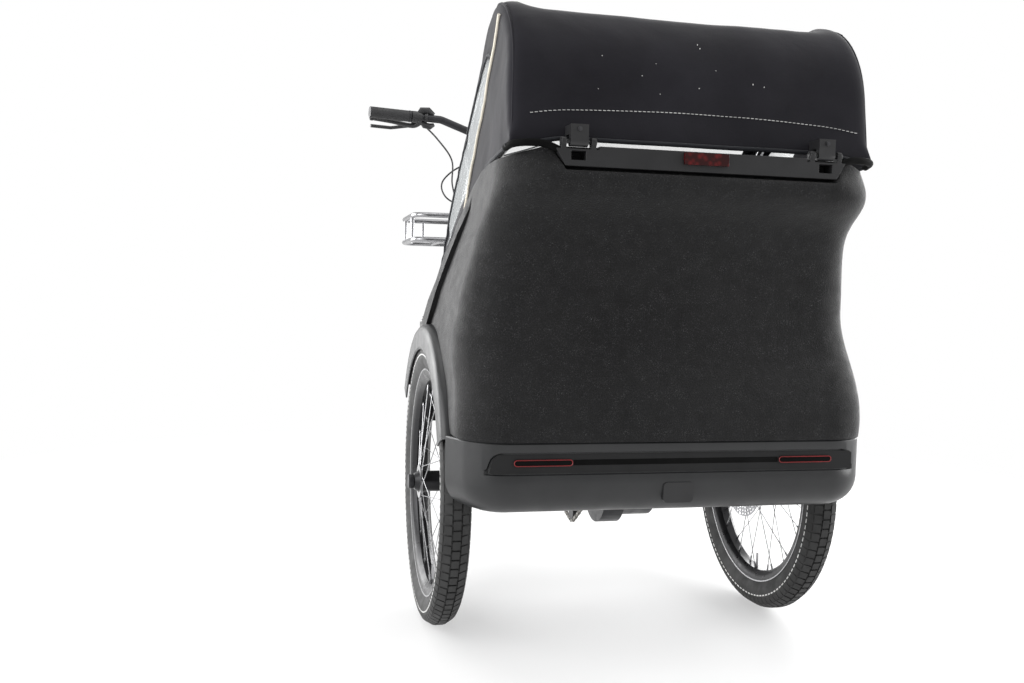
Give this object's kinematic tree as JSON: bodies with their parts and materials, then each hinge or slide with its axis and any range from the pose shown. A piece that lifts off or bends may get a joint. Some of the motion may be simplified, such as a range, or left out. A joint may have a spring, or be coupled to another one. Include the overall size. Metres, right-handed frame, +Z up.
{
  "type": "electric cargo tricycle with a rear passenger cabin",
  "caption": "Electric cargo tricycle: steered front wheel, upright rider's place, foam cabin with a hinged fabric canopy between the rear wheels.",
  "frame": {"origin": "on the ground under the middle of the vehicle's length and width", "axes": "+Y forward, +X to the rider's right, +Z up"},
  "size_m": [0.758, 2.1469, 1.139],
  "materials": {
    "foam": "matte",
    "moulded_grey": "satin",
    "canopy_fabric": "matte",
    "seat_fabric": "matte",
    "clear_film": "gloss",
    "red_lens": "gloss",
    "frame_paint": "satin",
    "black_metal": "satin",
    "bare_alloy": "satin",
    "steel_chain": "satin",
    "tyre_rubber": "matte",
    "grip_rubber": "matte",
    "lamp_clear": "gloss"
  },
  "bodies": {
    "chassis": {"main_frame": "frame_paint", "rear_axle_carrier": "black_metal", "differential": "black_metal", "cabin_tub": "foam", "front_cap_rail": "moulded_grey", "rear_rail": "moulded_grey", "top_reflector": "red_lens", "rear_bumper": "moulded_grey", "tail_lights": "red_lens", "port_cover": "grip_rubber", "fender_left": "moulded_grey", "fender_right": "moulded_grey", "bench_seat": "seat_fabric", "backrest": "seat_fabric", "saddle": "grip_rubber", "seatpost": "black_metal", "motor": "black_metal", "battery": "moulded_grey", "gear_hub": "black_metal", "drive_chain_front": "steel_chain", "drive_chain_rear": "steel_chain", "chain_tensioner": "black_metal", "rear_calipers": "black_metal", "front_rack": "bare_alloy", "headlight": "lamp_clear"},
    "canopy": {"canopy_cover": "canopy_fabric", "canopy_windows": "clear_film", "windscreen": "clear_film", "canopy_frame": "bare_alloy", "canopy_hinges": "moulded_grey"},
    "steering": {"fork": "frame_paint", "stem": "black_metal", "handlebar": "black_metal", "grips": "grip_rubber", "bar_controls": "bare_alloy", "display": "moulded_grey", "front_fender": "moulded_grey", "front_caliper": "black_metal"},
    "front_roller": {"front_wheel": "black_metal", "front_tyre": "tyre_rubber"},
    "rear_roller_left": {"rear_wheel_left": "black_metal", "rear_tyre_left": "tyre_rubber"},
    "rear_roller_right": {"rear_wheel_right": "black_metal", "rear_tyre_right": "tyre_rubber"},
    "crank": {"crankset": "black_metal"},
    "pedal_l": {"pedal_left": "moulded_grey"},
    "pedal_r": {"pedal_right": "moulded_grey"}
  },
  "joints": [
    {"name": "steer", "type": "hinge", "parent": "chassis", "child": "steering", "pos_m": [0, 0.76943, 0.26], "axis": [0, -0.342, 0.9397], "range_deg": [-45, 45]},
    {"name": "front_roll", "type": "hinge", "parent": "steering", "child": "front_roller", "pos_m": [0, 0.812, 0.26], "axis": [1, 0, 0], "continuous": true},
    {"name": "rear_roll_left", "type": "hinge", "parent": "chassis", "child": "rear_roller_left", "pos_m": [-0.33, -0.628, 0.26], "axis": [1, 0, 0], "continuous": true},
    {"name": "rear_roll_right", "type": "hinge", "parent": "chassis", "child": "rear_roller_right", "pos_m": [0.33, -0.628, 0.26], "axis": [1, 0, 0], "continuous": true},
    {"name": "crank_spin", "type": "hinge", "parent": "chassis", "child": "crank", "pos_m": [0, 0.232, 0.285], "axis": [1, 0, 0], "continuous": true},
    {"name": "pedal_spin_left", "type": "hinge", "parent": "crank", "child": "pedal_l", "pos_m": [-0.139, 0.062, 0.285], "axis": [1, 0, 0], "continuous": true},
    {"name": "pedal_spin_right", "type": "hinge", "parent": "crank", "child": "pedal_r", "pos_m": [0.139, 0.402, 0.285], "axis": [1, 0, 0], "continuous": true},
    {"name": "canopy_hinge", "type": "hinge", "parent": "chassis", "child": "canopy", "pos_m": [0, -1.065, 0.833], "axis": [1, 0, 0], "range_deg": [0, 95]}
  ]
}
